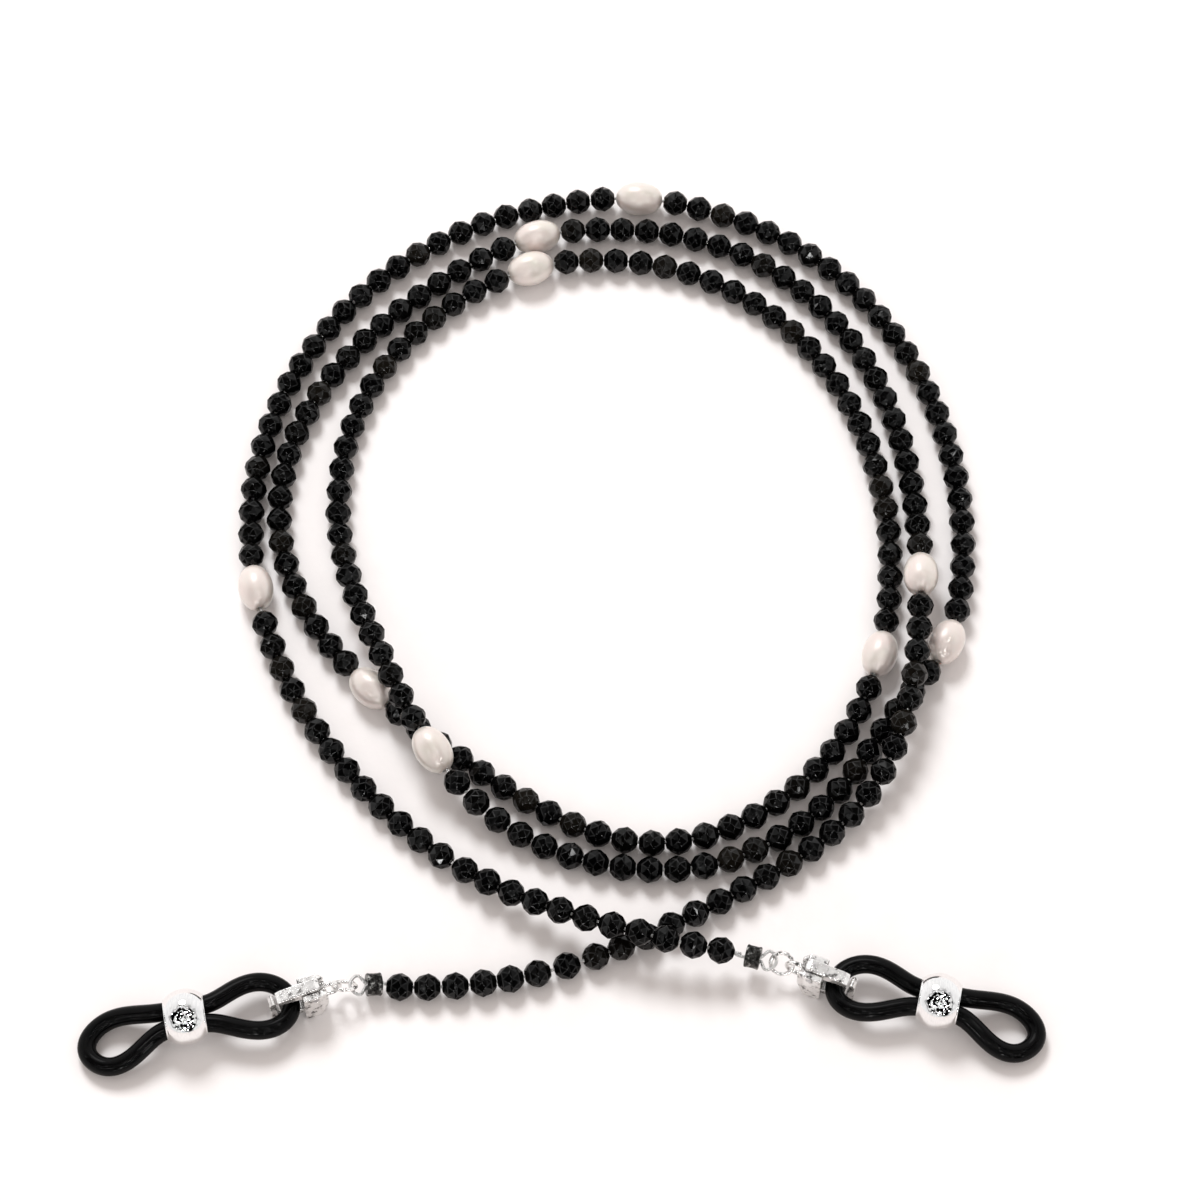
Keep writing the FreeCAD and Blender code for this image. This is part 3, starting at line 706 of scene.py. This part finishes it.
def nearest_centre(node, place):
    return min(solid_centres(node), key=lambda centre: (centre - place).length)


def flex_wire(name, finish):
    """Short straight bare wire across the joint where two runs of the strand meet."""
    middle = joint_place(name)
    parent_node, child_node = FLEXES[name]
    heading = (nearest_centre(child_node, middle) - nearest_centre(parent_node, middle)).normalized()
    half, radius = 0.75 * MM, 0.185 * MM
    steps = 12
    path = [middle + heading * half * (2 * step / steps - 1) for step in range(steps + 1)]
    wire = add_object("flex_wire_" + name, tube("flex_wire_" + name, path, radius, 16))
    dress(wire, finish)
    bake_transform(wire)


# ------------------------------------------------------------------ crimps, rings, clasps

def crimp(side, finish):
    """Crimp tube with rolled rims and the dents of the crimping pliers."""
    node = f"{side}_crimp"
    rim, waist, bore, half = 1.25 * MM, 1.19 * MM, 0.5 * MM, 0.83 * MM
    profile = [(-half + 0.12 * MM, bore), (-half, bore + 0.1 * MM), (-half, rim - 0.2 * MM),
               (-half + 0.04 * MM, rim - 0.06 * MM), (-half + 0.12 * MM, rim),
               (-half + 0.25 * MM, rim), (-half + 0.32 * MM, waist), (0.0, waist)]
    profile += [(-along, radius) for along, radius in reversed(profile[:-1])]
    shape = add_object(node + "_tube", lathe(node + "_tube", profile, 64))
    rounding = shape.modifiers.new("rounding", "SUBSURF")
    rounding.levels = rounding.render_levels = 2
    baked(shape)
    outer_wall = 0.9 * MM
    dent_length, dent_depth = 0.55 * MM, 0.03
    nick_length, nick_depth = 0.2 * MM, 0.012
    seed = Vector((3.0, 1.0, 0.0)) * (1 if side == "right" else 4)
    for vertex in shape.data.vertices:
        across = math.hypot(vertex.co.x, vertex.co.y)
        if across > outer_wall:
            dent = noise.noise(vertex.co / dent_length + seed)
            nick = noise.noise(vertex.co / nick_length + seed)
            shrink = 1.0 - dent_depth * max(dent, 0) - nick_depth * max(nick, 0)
            vertex.co.x *= shrink
            vertex.co.y *= shrink
    axis = own_axis(solids_of(node)[0])
    shape.data.transform(Matrix.Translation(centre_of(node)) @ axis_turn(axis))
    settle(shape, node, finish)


def jump_ring(side, finish):
    """Round-wire ring, split where the CAD ring is split."""
    node = f"{side}_jump_ring"
    points = solids_of(node)[0]
    normal = Vector(spreads(points)[1][:, 0])
    centre = circle_centre(points, normal)
    side_axis = normal.orthogonal().normalized()
    other = normal.cross(side_axis)
    offsets = points - np.array(centre)
    angles = np.sort(np.arctan2(offsets @ np.array(other), offsets @ np.array(side_axis)))
    gaps = np.diff(np.append(angles, angles[0] + 2 * math.pi))
    widest = int(gaps.argmax())
    start = float(angles[widest] + gaps[widest])
    arc = 2 * math.pi - float(gaps[widest])
    radius, wire, steps = 1.2 * MM, 0.22 * MM, 120
    path = []
    for step in range(steps + 1):
        angle = start + arc * step / steps
        path.append(centre + (side_axis * math.cos(angle) + other * math.sin(angle)) * radius)
    ring = add_object(node + "_wire", tube(node + "_wire", path, wire, 24))
    settle(ring, node, finish)


def clasp(side, silver, steel):
    """Cast clasp body and lever with tumbled edges; pin and spring keep their CAD shapes."""
    for part in ("clasp_body", "clasp_lever"):
        node = f"{side}_{part}"
        piece = softened(node, node + "_cast", voxel=0.045 * MM, passes=10)
        settle(piece, node, silver)
    for part in ("clasp_pin", "clasp_spring"):
        node = f"{side}_{part}"
        dress(frame["nodes"][node], steel)


# ------------------------------------------------------------------ rubber loops and slider balls

CORD_RADIUS = 1.0 * MM


def halved_centreline(side):
    """Centreline of the rubber loop in two halves: the eye beyond the ball, and the rest."""
    node = f"{side}_rubber_temple_loop"
    start = joint_place(f"{side}_rubber_pitch")
    path = trace_tube(node, start, joint_axis(f"{side}_rubber_pitch"), CORD_RADIUS,
                      step=0.35 * MM, limit=400)
    outwards = joint_axis(f"{side}_slider_slide")
    ball = centre_of(f"{side}_slider_ball")
    beyond = [(place - ball).dot(outwards) > 0 for place in path]
    count = len(path)
    first = next(i for i in range(count) if beyond[i] and not beyond[i - 1])
    turned = path[first:] + path[:first]
    eye_count = next(i for i in range(count) if (turned[i] - ball).dot(outwards) <= 0)
    return turned[:eye_count], turned[eye_count:]


def smooth_path(path):
    """Even out the small steps of a traced path, keeping its ends."""
    passes = 6
    for _ in range(passes):
        inner = [(path[i - 1] + path[i] * 2 + path[i + 1]) / 4 for i in range(1, len(path) - 1)]
        path = [path[0]] + inner + [path[-1]]
    return path


def rubber_loop(side, finish):
    """The cord in two halves that meet inside the ball."""
    node = f"{side}_rubber_temple_loop"
    eye, near = halved_centreline(side)
    overlap = 2
    eye_path = smooth_path(near[-overlap:] + eye + near[:overlap])
    near_path = smooth_path(eye[-overlap:] + near + eye[:overlap])
    for half, path in (("eye", eye_path), ("near", near_path)):
        name = f"{side}_rubber_{half}_loop"
        cord = add_object(name, tube(name, path, CORD_RADIUS, 40))
        dress(cord, finish)
        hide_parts(node)
        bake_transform(cord)


def slider_ball(side, finish):
    """Hollow mirror ball with rolled rims round its bore."""
    node = f"{side}_slider_ball"
    radius, bore, lip = 3.0 * MM, 2.1 * MM, 0.16 * MM
    half = math.sqrt(radius ** 2 - bore ** 2)
    rows = 48
    limit = math.asin((half - lip * 0.6) / radius)
    profile = []
    for row in range(rows + 1):
        angle = limit * (2 * row / rows - 1)
        profile.append((radius * math.sin(angle), radius * math.cos(angle)))
    rolled = [(half, bore + 0.12 * MM), (half - 0.02 * MM, bore + 0.03 * MM), (half - 0.14 * MM, bore)]
    inside = [(half * 0.5, bore), (0.0, bore)]
    profile += rolled + inside
    profile += [(-along, across) for along, across in reversed(rolled + inside[:1])]
    mesh = lathe(node + "_mirror", profile, 128)
    turn = axis_turn(joint_axis(f"{side}_slider_slide"))
    mesh.transform(Matrix.Translation(centre_of(node)) @ turn)
    settle(add_object(node + "_mirror", mesh), node, finish)


# ------------------------------------------------------------------ the object

glass, nacre, wire_finish = black_glass(), pearl_nacre(), beading_wire()
dark_metal, silver, steel = gunmetal(), silver_finding(), spring_steel()
rubber, mirror = black_rubber(), polished_ball()

string_glass_beads(glass)
for pearl_number in range(1, PEARLS + 1):
    pearl(pearl_number, nacre)
for node_name, node_object in frame["nodes"].items():
    if slot_of(node_name) == "beading_wire":
        dress(node_object, wire_finish)
for flex in FLEXES:
    flex_wire(flex, wire_finish)
for end_side in SIDES:
    crimp(end_side, dark_metal)
    jump_ring(end_side, silver)
    clasp(end_side, silver, steel)
    rubber_loop(end_side, rubber)
    slider_ball(end_side, mirror)


# ------------------------------------------------------------------ table, lights and camera

# What the camera and the lamps look at: a point on the table, measured from the strap's middle.
AIM = Vector(((cad_low.x + cad_high.x) / 2 + 4.0 * MM, (cad_low.y + cad_high.y) / 2 + 1.0 * MM, 0))
ELEVATION = math.radians(61.0)
TOWARDS_CAMERA = (0.0, -math.cos(ELEVATION), math.sin(ELEVATION))
CAMERA_DISTANCE = 0.4062
LENS_MM = 107.6


def table():
    half = 3.0
    corners = [(-half, -half, 0), (half, -half, 0), (half, half, 0), (-half, half, 0)]
    floor = add_object("table", mesh_from("table", corners, [(0, 1, 2, 3)], smooth=False))
    floor.data.materials.append(table_paper())


def lamp(name, place, size, power, colour=(1, 1, 1), mirrored=True):
    """Round lamp aimed at the strap.  One that isn't mirrored only lights, and shows in no gloss."""
    light = bpy.data.lights.new(name, "AREA")
    light.shape = "DISK"
    light.size = size
    light.energy = power
    light.color = colour
    holder = bpy.data.objects.new(name, light)
    bpy.context.scene.collection.objects.link(holder)
    holder.location = place
    holder.rotation_euler = (AIM - Vector(place)).to_track_quat("-Z", "Y").to_euler()
    holder.visible_glossy = mirrored


def room(dark_side):
    """Soft warm daylight for matt surfaces; in gloss, a bright room that is dark on one side."""
    world = bpy.data.worlds.new("room")
    bpy.context.scene.world = world
    world.use_nodes = True
    nodes = Nodes(world.node_tree)
    direction = nodes.add("ShaderNodeTexCoord").outputs["Generated"]

    # How far a direction lies towards the dark side, along a wandering border.
    facing = nodes.add("ShaderNodeVectorMath", {0: direction, 1: dark_side}, operation="DOT_PRODUCT")
    patches = nodes.add("ShaderNodeTexNoise", {"Vector": direction, "Scale": 2.6, "Detail": 2.0})
    wander = nodes.add("ShaderNodeMath", {0: patches.outputs["Fac"], 1: 0.9, 2: facing.outputs["Value"]},
                       operation="MULTIPLY_ADD")
    side = nodes.add("ShaderNodeMath", {0: wander.outputs[0], 1: 0.45},
                     operation="SUBTRACT").outputs[0]
    walls = nodes.levels(side, (0.0, 1.1), (0.45, 0.95), (0.56, 0.5), (0.62, 0.006))
    dark = nodes.levels(side, (0.58, 0.0), (0.64, 1.0))

    # On the dark side, a few pale panes and small bright sparks.
    shards = nodes.add("ShaderNodeTexNoise", {"Vector": direction, "Scale": 5.0, "Detail": 1.0})
    panes = nodes.levels(shards.outputs["Fac"], (0.52, 0.0), (0.56, 0.9))
    cells = nodes.add("ShaderNodeTexVoronoi", {"Vector": direction, "Scale": 6.0})
    spots = nodes.levels(cells.outputs["Distance"], (0.0, 1.0), (0.14, 1.0), (0.17, 0.0))
    sparks = nodes.add("ShaderNodeMath", {0: spots, 1: dark}, operation="MULTIPLY").outputs[0]
    spark_light = (*grey(32.0), 1.0)

    daylight = (0.80, 0.72, 0.68, 1.0)
    in_gloss = nodes.add("ShaderNodeLightPath").outputs["Is Glossy Ray"]
    shown = walls
    for share, colour in ((dark, panes), (sparks, spark_light)):
        shown = nodes.add("ShaderNodeMixRGB",
                          {"Color1": shown, "Color2": colour, "Fac": share}).outputs["Color"]
    choice = nodes.add("ShaderNodeMixRGB", {"Color1": daylight, "Color2": shown, "Fac": in_gloss})
    background = nodes.tree.nodes["Background"]
    nodes.tree.links.new(choice.outputs["Color"], background.inputs["Color"])


def camera(target, direction, distance, lens):
    """Camera at a distance from its target, in a direction from it."""
    data = bpy.data.cameras.new("camera")
    data.lens = lens
    data.sensor_width = 36.0
    data.clip_start = 0.01
    eye = bpy.data.objects.new("camera", data)
    bpy.context.scene.collection.objects.link(eye)
    eye.location = Vector(target) + distance * Vector(direction)
    eye.rotation_euler = (Vector(target) - eye.location).to_track_quat("-Z", "Y").to_euler()
    bpy.context.scene.camera = eye


bpy.context.scene.view_settings.view_transform = "Standard"
table()
room(TOWARDS_CAMERA)
lamp("key", place=(-0.22, 0.66, 0.85), size=0.42, power=8.0, colour=(1.0, 0.99, 0.99), mirrored=False)
lamp("window", place=(-0.20, 0.60, 0.80), size=0.42, power=1.7)
lamp("spark", place=(0.28, -0.35, 0.9), size=0.03, power=0.12)
lamp("low", place=(0.0, -0.85, 0.30), size=0.07, power=0.5)
camera(AIM, TOWARDS_CAMERA, CAMERA_DISTANCE, LENS_MM)
